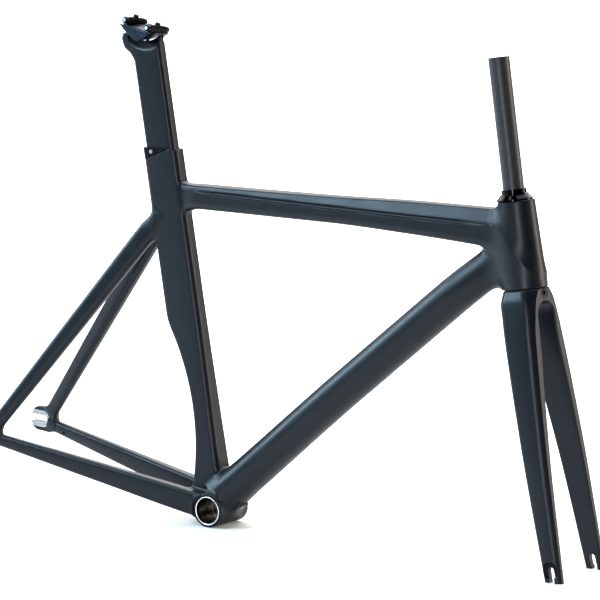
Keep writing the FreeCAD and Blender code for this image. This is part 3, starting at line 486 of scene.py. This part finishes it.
def clamp_notch():
    """The wedge taken out of the mast's rear for the seat clamp."""
    mast_back = -SEAT_FOOT_BACK + MAST_TOP * seat_axis[0] / seat_axis[2] - 28.6
    place = Place([mast_back, 0, MAST_TOP], UP, FORWARD)
    slope = (NOTCH_DROP - NOTCH_TIP_DROP) / NOTCH_LENGTH

    def field(points):
        x, _, z = place.local(points)
        under = (-NOTCH_TIP_DROP - (NOTCH_LENGTH - x) * slope - z) / math.hypot(1, slope)
        return np.maximum(under, x - NOTCH_LENGTH)

    return field


def frame_field():
    """The whole frame moulding."""
    head, head_room = head_tube()
    seat_shape, pocket = seat_tube()
    top_shape, crease = top_tube()
    down_shape = down_tube()
    rear_shape = stays()
    notch = clamp_notch()
    lug = drum(bracket, BRACKET_RADIUS, -BRACKET_HALF_WIDTH, BRACKET_HALF_WIDTH)
    sleeve_bore = drum(bracket, SLEEVE_RADIUS, -60, 60)
    cup_space = [drum(Place(bracket.origin, LEFT * sign, FORWARD), BRACKET_RADIUS + 0.5,
                      BRACKET_HALF_WIDTH, 70) for sign in (-1, 1)]
    wheel = drum(Place(rear_axle, LEFT, FORWARD), WHEEL_CLEARANCE, -200, 200)
    mast_top = half_space(Place([0, 0, MAST_TOP], UP, FORWARD))
    crown_space = drum(steering, 33.0, -45, 0)
    room = (crown_space, *head_room, sleeve_bore, *cup_space, pocket, *rear_openings())

    def field(points):
        seat_part = higher(seat_shape(points), -wheel(points), 5.0)
        shell = lower(seat_part, top_shape(points), 7.0)
        stays_high, rear = rear_shape(points)
        shell = lower(shell, stays_high, 12.0)
        front = lower(head(points), down_shape(points), 34.0)
        shell = lower(shell, front, 12.0)
        shell = lower(shell, lug(points), 9.0)
        shell = lower(shell, rear, 8.0)
        shell = higher(shell, -crease(points), 0.8)
        shell = higher(shell, mast_top(points), 0.8)
        for tool in room:
            shell = higher(shell, -tool(points), 0.5)
        return higher(shell, -notch(points), 0.8)

    return field


def fork_field():
    """The fork: one tapering body with a flat front, parted by the arch, and two slotted ends."""
    heights = [-398, -250, -150, -60, -38, -16, -CROWN_GAP]
    depth = profile(heights, [16.6, 20.2, 22.8, 25.3, 26.8, 28.8, 29.0])
    lead = profile(heights, [30.8, 19.2, 11.3, 4.2, 3, 1.6, 1.6])
    outer = profile(heights, [62, 57.7, 51, 42.2, 39, 35.2, 29.2])
    inner = profile([-398, -250, -150, -60, -39], [50, 41.5, 31.4, 20.6, ARCH_RADIUS])
    corner = profile(heights, [5, 6.5, 7.5, 9, 11, 15, 21])
    arch_down = ARCH_TOP + ARCH_RADIUS
    stem_bore = drum(steering, 19.9, -6, 10)
    sideways = Place(steering.point(z=-BRAKE_HOLE_DOWN), steering.x, UP)
    brake_hole = drum(sideways, BRAKE_HOLE_RADIUS, -60, 60)
    bush_seat = drum(sideways, BUSH_RADIUS, CROWN_FRONT - BUSH_DEPTH, 60)
    axle_places = [Place(front_axle + LEFT * sign * HUB_HALF_WIDTH, LEFT * sign, front_slot_axis())
                   for sign in (-1, 1)]
    slots = [axle_slot(place, 0.0, FRONT_SLOT_HALF) for place in axle_places]
    pockets = [drum(place, FORK_PLATE_RADIUS, FORK_PLATE_INSET, 40) for place in axle_places]
    floor = cad_low.z / MM

    def groove(points):
        x, y, z = sideways.local(points)
        return np.hypot(np.hypot(x, y) - RIM_GROOVE_RADIUS, z - CROWN_FRONT - 0.2) - 1.1

    def body(x, y, z):
        """The outside, from above: round at the rear corners, bevelled and flat at the front."""
        r = corner(z)
        y = y + 2.2 * ((x - lead(z)) / depth(z)) ** 2
        back = lead(z) - depth(z)
        front = np.minimum(lead(z) + depth(z), CROWN_FRONT + np.maximum(-z - 60, 0) * 0.035)
        out_x = back + r - x
        out_y = y - outer(z) + r
        rear = (np.hypot(np.maximum(out_x, 0), np.maximum(out_y, 0))
                + np.minimum(np.maximum(out_x, out_y), 0) - r)
        nose = 0.45 * r + 0.8
        bevel = (x - front + y - outer(z)) * math.sqrt(0.5) + nose
        shape = higher(rear, np.where(x > back + depth(z), bevel, rear), 4.0)
        shape = higher(shape, x - front, 1.0)
        return higher(shape, np.maximum(heights[0] - z, z - heights[-1]), 3.0)

    def arch(y, z):
        straight = y - inner(z)
        return np.where(z > -arch_down, np.hypot(y, z + arch_down) - ARCH_RADIUS, straight)

    def field(points):
        x, y, z = steering.local(points)
        y = np.abs(y)
        shape = higher(body(x, y, z), -arch(y, z), 3.0)
        shape = higher(shape, floor - points[2], 0.8)
        for tool in (stem_bore, brake_hole, bush_seat, groove, *slots, *pockets):
            shape = higher(shape, -tool(points), 0.5)
        return shape

    return field


def front_slot_axis():
    """The direction in which a fork end's slot is closed."""
    return np.array([-math.sin(FRONT_SLOT_LEAN), 0, math.cos(FRONT_SLOT_LEAN)])


def seatpost_field():
    """The aero post; its head flares to the rear and is scooped and chamfered around the cradle."""
    rears = [(345, 24.4, 11), (636, 24.6, 11), (650, 29.5, 11), (662, 39.5, 11.3), (673, 41, 11.3),
             (681, 38, 11)]
    stations = [(z, (POST_FRONT + rear) / 2, half_y) for z, rear, half_y in rears]
    moves = [((POST_FRONT - rear) / 2, 0) for _, rear, _ in rears]
    post = box_tube(seat, stations, 6.5, 2.0, shift=moves, bow=1.2)

    def field(points):
        shape = post(points)
        x, _, z = seat.local(points)
        shape = higher(shape, -np.maximum(POST_CUT_FROM - x, POST_CUT_HEIGHT - z), 1.5)
        along, height, side = tilt.local(points)
        reach = np.hypot(along, height)
        rim = ((np.abs(side) - POST_HEAD_HALF_WIDTH) * math.cos(SCOOP_LEAN)
               + (SCOOP_RIM - reach + 0.14 * along) * math.sin(SCOOP_LEAN))
        shape = higher(shape, np.where(x > EAR_FROM, rim, rim - 3 * (EAR_FROM - x)), 2.5)
        return higher(shape, SCOOP_RADIUS - reach, 1.0)

    return field


def track_plate_field(sign):
    """A steel plate on a track end's inner face, with serrations along both edges of its slot."""
    place = rear_end(sign)
    plate = stadium(place, 16.3, -18.7, 12.4, 11.6, -PLATE_THICKNESS, 0.0, 0.6)
    slot = axle_slot(place, SLOT_CLOSED_END, SLOT_HALF)

    def field(points):
        x, y, z = place.local(points)
        past = np.maximum(x - SLOT_CLOSED_END, 0)
        edge = np.abs(np.hypot(past, y) - TOOTH_MIDDLE)
        around = TOOTH_MIDDLE * np.arctan2(past, np.abs(y))
        turn = np.where(x > SLOT_CLOSED_END, around, x - SLOT_CLOSED_END)
        depth = TOOTH_DEPTH * np.maximum(np.cos(2 * math.pi * turn / TOOTH_PITCH), 0)
        teeth = np.maximum(edge - TOOTH_HALF_LENGTH, z + PLATE_THICKNESS - depth)
        return higher(higher(plate(points), -slot(points), 0.5), -teeth, 0.15)

    return field


def sleeve_field():
    """The bracket's threaded alloy sleeve; deep chamfers leave a narrow rim at each end."""
    sleeve_low, sleeve_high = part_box("bottom_bracket_sleeve")
    half_length = (sleeve_high[1] - sleeve_low[1]) / MM / 2
    outside = drum(bracket, SLEEVE_RADIUS, -half_length, half_length)

    def field(points):
        x, y, z = bracket.local(points)
        reach = np.hypot(x, y)
        turn = np.arctan2(y, x) / (2 * math.pi)
        thread = THREAD_DEPTH * np.cos(2 * math.pi * (z / THREAD_PITCH - turn))
        bore = reach - SLEEVE_BORE_RADIUS - thread * np.clip(half_length - 4 - np.abs(z), 0, 1)
        chamfer = (reach - RIM_RADIUS) * RIM_SLOPE[0] + (half_length - np.abs(z)) * RIM_SLOPE[1]
        return higher(outside(points), -np.minimum(bore, chamfer), 0.4)

    return field


def cradle_field():
    """The half-round cradle, cut by the rails' grooves and by room for the two yokes."""
    body = drum(tilt, CRADLE_RADIUS, -CRADLE_HALF_WIDTH, CRADLE_HALF_WIDTH)

    def field(points):
        x, y, z = saddle.local(points)
        shape = higher(body(points), z + CRADLE_TOP_DOWN, 1.2)
        trim = np.hypot(x - REAR_TRIM_MIDDLE[0], z - REAR_TRIM_MIDDLE[1]) - REAR_TRIM_RADIUS
        shape = higher(shape, trim, 2.0)
        for side in (-RAIL_ASIDE, RAIL_ASIDE):
            groove = np.hypot(y - side, z + RAIL_GROOVE_DOWN) - RAIL_GROOVE_RADIUS
            shape = higher(shape, -groove, 0.8)
        ribs = RIB_DEPTH * np.cos(2 * math.pi * (x * 0.7 - z) / 3.2) * np.clip((np.abs(y) - 26) * 2, 0, 1)
        shape = shape - ribs * 0.3
        for ahead in YOKES:
            shape = higher(shape, -yoke_form(points, ahead, YOKE_ROOM), 0.4)
        return shape

    return field


def yoke_place(ahead):
    """A yoke's frame: z along the yoke, x forward; its left end is low, as it sits loose."""
    along = math.cos(YOKE_ROLL) * LEFT - math.sin(YOKE_ROLL) * saddle.z
    return Place(saddle.point(x=ahead, z=-YOKE_DOWN), along, saddle.x)


def yoke_form(points, ahead, gap):
    """A yoke's plain shape, grown by a gap on its sides and further past its ends."""
    x, y, z = yoke_place(ahead).local(points)
    over_end = np.abs(z) - YOKE_HALF_LENGTH - YOKE_RUN_OUT * gap
    bar = higher(np.hypot(x, y) - YOKE_RADIUS - gap, over_end, 1.0)
    half_depth = YOKE_MIDDLE_HALF_DEPTH + gap
    middle = higher(np.abs(x) - half_depth, np.abs(y) - half_depth, 2.4)
    middle = higher(middle, np.abs(z) - YOKE_MIDDLE_HALF_LENGTH - gap, 1.6)
    return lower(bar, middle, 1.2)


def yoke_field(ahead):
    """A cross yoke: a round bar with a thicker middle, cast with fine ribs."""
    def field(points):
        _, _, z = yoke_place(ahead).local(points)
        ribs = RIB_DEPTH * np.cos(2 * math.pi * z / 2.6) * np.clip(19 - np.abs(z), 0, 1)
        waist = 0.8 * np.exp(-((np.abs(z) - 10) / 2.2) ** 2)
        fade = np.clip(21 - np.abs(z), 0, 1)
        return yoke_form(points, ahead, 0.0) + (RIB_DEPTH + waist) * fade - ribs

    return field


# ---------------------------------------------------------------- materials
def new_material(name):
    """An empty node material with one shader."""
    material = bpy.data.materials.new(name)
    material.use_nodes = True
    nodes = material.node_tree.nodes
    nodes.clear()
    output = nodes.new("ShaderNodeOutputMaterial")
    shader = nodes.new("ShaderNodeBsdfPrincipled")
    material.node_tree.links.new(shader.outputs["BSDF"], output.inputs["Surface"])
    return material, shader


def add(material, kind, **values):
    """A node of a kind with its input values set; underscores in names stand for spaces."""
    node = material.node_tree.nodes.new("ShaderNode" + kind)
    for name, value in values.items():
        node.inputs[name.replace("_", " ")].default_value = value
    return node


def link(material, source, target):
    material.node_tree.links.new(source, target)


def grain(material, scale, detail=4.0, stretch=(1, 1, 1)):
    """A noise over the object's own coordinates."""
    place = add(material, "TexCoord")
    mapping = add(material, "Mapping", Scale=stretch)
    noise = add(material, "TexNoise", Scale=scale, Detail=detail)
    link(material, place.outputs["Object"], mapping.inputs["Vector"])
    link(material, mapping.outputs["Vector"], noise.inputs["Vector"])
    return noise.outputs["Fac"]


def ramp(material, factor, stops):
    """Colours or greys along a factor; each stop is a position and a colour."""
    node = add(material, "ValToRGB")
    for number, (place, colour) in enumerate(stops):
        stop = node.color_ramp.elements[number] if number < 2 else node.color_ramp.elements.new(place)
        stop.position = place
        stop.color = (*colour, 1) if isinstance(colour, tuple) else (colour, colour, colour, 1)
    link(material, factor, node.inputs["Fac"])
    return node.outputs["Color"]


def bump(material, shader, height, strength, distance):
    node = add(material, "Bump", Strength=strength, Distance=distance)
    link(material, height, node.inputs["Height"])
    link(material, node.outputs["Normal"], shader.inputs["Normal"])


def painted_carbon():
    """Satin blue-black paint with fine flake, soft mottling and a little orange peel."""
    material, shader = new_material("painted_carbon")
    shader.inputs["Specular IOR Level"].default_value = 0.4
    flake = grain(material, 900, 2.0)
    colour = ramp(material, flake, [(0.3, (0.0025, 0.0048, 0.008)), (0.75, (0.006, 0.0115, 0.019))])
    link(material, colour, shader.inputs["Base Color"])
    mottle = grain(material, 38, 5.0)
    link(material, ramp(material, mottle, [(0.3, 0.36), (0.7, 0.42)]), shader.inputs["Roughness"])
    bump(material, shader, grain(material, 260, 3.0), 0.08, 0.0004)
    return material


def raw_carbon():
    """Bare carbon, centreless ground: fine rings and a dull speckle."""
    material, shader = new_material("raw_carbon")
    shader.inputs["Specular IOR Level"].default_value = 0.5
    speckle = grain(material, 700, 6.0)
    link(material, ramp(material, speckle, [(0.35, (0.012, 0.012, 0.013)), (0.7, (0.05, 0.05, 0.052))]),
         shader.inputs["Base Color"])
    rings = grain(material, 120, 4.0, (0.3, 0.3, 14))
    link(material, ramp(material, rings, [(0.3, 0.34), (0.7, 0.52)]), shader.inputs["Roughness"])
    bump(material, shader, rings, 0.25, 0.0003)
    return material


def metal(name, dark, light, rough, smooth, scale, stretch, peel=0.2, depth=0.0002, metallic=1.0):
    """A brushed or anodised metal: streaked colour, roughness and bump."""
    material, shader = new_material(name)
    shader.inputs["Metallic"].default_value = metallic
    streak = grain(material, scale, 6.0, stretch)
    link(material, ramp(material, streak, [(0.3, dark), (0.7, light)]), shader.inputs["Base Color"])
    link(material, ramp(material, streak, [(0.3, smooth), (0.7, rough)]), shader.inputs["Roughness"])
    bump(material, shader, streak, peel, depth)
    return material


def polished_alloy():
    """Colour set by which way a face points: the end faces across the bracket's axis get a painted highlight, and
    the other faces, the bore, get painted shade, dull olive with turning streaks.
    """
    material, shader = new_material("polished_alloy")
    shader.inputs["Metallic"].default_value = 1.0
    facing = add(material, "TexCoord")
    parts = add(material, "SeparateXYZ")
    link(material, facing.outputs["Normal"], parts.inputs["Vector"])
    # Painted light: faces pointing along the bracket's axis are painted bright as a highlight, and all other faces
    # are painted dark as shade.
    highlight_shade_mask = add(material, "Math")
    highlight_shade_mask.operation = "ABSOLUTE"
    link(material, parts.outputs["Y"], highlight_shade_mask.inputs[0])
    streak = grain(material, 40, 5.0, (1, 6, 1))
    # bore: painted shade, dull olive with turning streaks; rim: painted highlight on the end faces.
    bore = ramp(material, streak, [(0.45, (0.02, 0.019, 0.015)), (0.75, (0.2, 0.19, 0.165))])
    rim = ramp(material, streak, [(0.3, (0.78, 0.79, 0.8)), (0.7, (0.9, 0.91, 0.92))])
    mix = add(material, "MixRGB")
    link(material, ramp(material, highlight_shade_mask.outputs["Value"], [(0.5, 0.0), (0.85, 1.0)]), mix.inputs["Fac"])
    link(material, bore, mix.inputs["Color1"])
    link(material, rim, mix.inputs["Color2"])
    link(material, mix.outputs["Color"], shader.inputs["Base Color"])
    link(material, ramp(material, streak, [(0.3, 0.22), (0.7, 0.4)]), shader.inputs["Roughness"])
    bump(material, shader, streak, 0.15, 0.0002)
    return material


EVEN = (1, 1, 1)
MATERIALS = {
    "painted_carbon": painted_carbon(),
    "raw_carbon": raw_carbon(),
    "painted_alloy": metal("painted_alloy", (0.02, 0.028, 0.038), (0.035, 0.046, 0.06),
                           0.46, 0.38, 500, EVEN),
    "black_alloy": metal("black_alloy", (0.012, 0.012, 0.014), (0.03, 0.03, 0.033), 0.42, 0.3, 800, EVEN),
    "gloss_black_alloy": metal("gloss_black_alloy", (0.01, 0.01, 0.012), (0.02, 0.02, 0.023),
                               0.14, 0.08, 60, (0.4, 0.4, 8), 0.05),
    "polished_alloy": polished_alloy(),
    "bright_steel": metal("bright_steel", (0.28, 0.28, 0.29), (0.5, 0.5, 0.51), 0.5, 0.34, 160, (0.4, 6, 6)),
    "black_plastic": metal("black_plastic", (0.01, 0.01, 0.011), (0.02, 0.02, 0.021),
                           0.55, 0.42, 900, EVEN, metallic=0.0),
}


def dress(piece, slot_name):
    """Give a piece the material of a record slot."""
    material = MATERIALS[slot_name]
    if piece.data.materials:
        for index in range(len(piece.data.materials)):
            piece.data.materials[index] = material
    else:
        piece.data.materials.append(material)


def add_piece(piece, body, slot_name, *nodes):
    """Dress a piece, let it ride on a body and stand in for some CAD nodes."""
    dress(piece, slot_name)
    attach(piece, body)
    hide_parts(*nodes)


# ---------------------------------------------------------------- pieces
def box_of(*nodes):
    """The lowest and highest corner of some CAD nodes, in millimetres, with a margin."""
    lows, highs = zip(*(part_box(node) for node in nodes))
    margin = 6.0
    return np.min(lows, axis=0) / MM - margin, np.max(highs, axis=0) / MM + margin


def frame_pieces(voxel):
    """The frame's one smooth surface, parted into three pieces at two upright planes."""
    points, normals, quads = surface(frame_field(), *box_of(*SHELL_NODES), voxel)
    middles = points[0, quads].mean(axis=1)
    for name, (start, end, nodes) in REGIONS.items():
        part = quads[(middles >= start) & (middles < end)]
        piece = piece_of(f"frame_moulding_{name}", points, normals, part)
        add_piece(piece, "frame", "painted_carbon", *nodes)


SIDES = {"right": -1, "left": 1}
REAR_PARTS = ("chainstay", "seatstay", "track_end")
FAR = 1000.0
REGIONS = {
    "rear": (-FAR, -110, [f"{part}_{side}" for part in REAR_PARTS for side in SIDES]),
    "middle": (-110, 130, ["bottom_bracket_lug", "seat_tube"]),
    "front": (130, FAR, ["head_tube", "top_tube", "down_tube"]),
}
SHELL_NODES = [node for _, _, nodes in REGIONS.values() for node in nodes]
FORK_NODES = ["fork_crown", "fork_leg_right", "fork_leg_left"]

slot_of = {part["node"]: part["material_slot"] for part in record["subparts"]}
for name, node in frame["nodes"].items():
    dress(node, slot_of[name])

coarse = 1.0
frame_pieces(1.6 * coarse)

# each skin: its name, field, voxel in millimetres, body, material slot and the nodes it stands in for
skins = [
    ("fork_moulding", fork_field(), 1.1, "fork", "painted_carbon", FORK_NODES),
    ("seatpost_moulding", seatpost_field(), 0.9, "seatpost", "painted_carbon", ["seatpost"]),
    ("threaded_sleeve", sleeve_field(), 0.6, "frame", "polished_alloy", ["bottom_bracket_sleeve"]),
]
for side, sign in SIDES.items():
    skins.append((f"serrated_plate_{side}", track_plate_field(sign), 0.4, "frame", "bright_steel",
                  [f"track_end_plate_{side}"]))
skins.append(("ribbed_cradle", cradle_field(), 0.6, "saddle_clamp", "painted_alloy", ["saddle_cradle"]))
for name, ahead in zip(("front", "rear"), YOKES):
    skins.append((f"cast_yoke_{name}", yoke_field(ahead), 0.4, "saddle_clamp", "black_alloy",
                  [f"rail_yoke_{name}"]))
for name, field, voxel, body, slot_name, nodes in skins:
    add_piece(skin(name, field, *box_of(*nodes), voxel * coarse), body, slot_name, *nodes)


# ---------------------------------------------------------------- floor, light and camera
def pale_floor():
    """A wide, nearly white floor under the object's lowest point."""
    bpy.ops.mesh.primitive_grid_add(size=60, x_subdivisions=4, y_subdivisions=4,
                                    location=(0, 0, cad_low.z))
    floor = bpy.context.object
    floor.name = "floor"
    material, shader = new_material("pale_floor")
    shader.inputs["Roughness"].default_value = 0.8
    shader.inputs["Specular IOR Level"].default_value = 0.2
    shader.inputs["Emission Color"].default_value = (1, 1, 1, 1)
    shader.inputs["Emission Strength"].default_value = 0.1
    tone = ramp(material, grain(material, 3, 3.0), [(0.3, (0.80, 0.785, 0.765)), (0.7, (0.84, 0.825, 0.805))])
    link(material, tone, shader.inputs["Base Color"])
    floor.data.materials.append(material)


def soft_light(name, spot, aim, size, power, colour):
    """An area light at a spot in metres from the object's middle, turned toward an aim."""
    middle = (cad_low + cad_high) / 2
    data = bpy.data.lights.new(name, "AREA")
    data.shape = "RECTANGLE"
    data.size, data.size_y = size
    data.energy = power
    data.color = colour
    lamp = bpy.data.objects.new(name, data)
    lamp.location = middle + Vector(spot)
    away = Vector(spot) - Vector(aim)
    lamp.rotation_euler = away.to_track_quat("Z", "Y").to_euler()
    bpy.context.scene.collection.objects.link(lamp)


def studio():
    """A faint blue world, a broad light on the floor behind, and five soft lights around the object."""
    world = bpy.data.worlds.new("studio")
    world.use_nodes = True
    world.node_tree.nodes["Background"].inputs["Color"].default_value = (0.7, 0.86, 1, 1)
    world.node_tree.nodes["Background"].inputs["Strength"].default_value = 0.05
    bpy.context.scene.world = world
    bpy.context.scene.view_settings.view_transform = "Standard"
    bpy.context.scene.view_settings.gamma = 0.84
    soft_light("backdrop", (-2.9, 4.3, 2.6), (-2.9, 4.3, 0), (8.6, 8.6), 900, (1, 0.985, 0.97))
    soft_light("key", (-2.2, -2.4, 1.9), (-0.3, 0, 0.1), (1.4, 1.1), 120, (0.62, 0.83, 1.0))
    soft_light("left", (-3.2, -0.7, 1.1), (0, 0, 0), (1.0, 1.2), 75, (0.65, 0.85, 1.0))
    soft_light("above", (-0.4, -1.0, 2.6), (0, 0, 0), (1.4, 1.0), 35, (0.75, 0.9, 1.0))
    soft_light("corner", (1.35, -2.9, 0.3), (0, 0, 0), (0.3, 1.6), 42, (0.95, 0.97, 1.0))
    soft_light("rim", (2.4, 1.9, 0.6), (0, 0, 0), (1.0, 2.0), 60, (1.0, 0.9, 0.82))


CAMERA_SPOT = (3.44545, -4.80427, 1.19552)


def camera():
    """The view: a long lens from the front right, a little above the frame."""
    yaw = math.radians(34.61)
    pitch = math.radians(8.64)
    roll = math.radians(0.29)
    ahead = Vector((-math.sin(yaw) * math.cos(pitch), math.cos(yaw) * math.cos(pitch), -math.sin(pitch)))
    level = Vector((math.cos(yaw), math.sin(yaw), 0))
    above = level.cross(ahead)
    right = math.cos(roll) * level + math.sin(roll) * above
    top = math.cos(roll) * above - math.sin(roll) * level
    data = bpy.data.cameras.new("camera")
    data.sensor_width = 36
    data.lens = 255.2
    data.shift_x = 0.0039
    data.clip_end = 100
    view = bpy.data.objects.new("camera", data)
    basis = Matrix((right, top, -ahead)).transposed().to_4x4()
    view.matrix_world = Matrix.Translation(CAMERA_SPOT) @ basis
    bpy.context.scene.collection.objects.link(view)
    bpy.context.scene.camera = view


pale_floor()
studio()
camera()
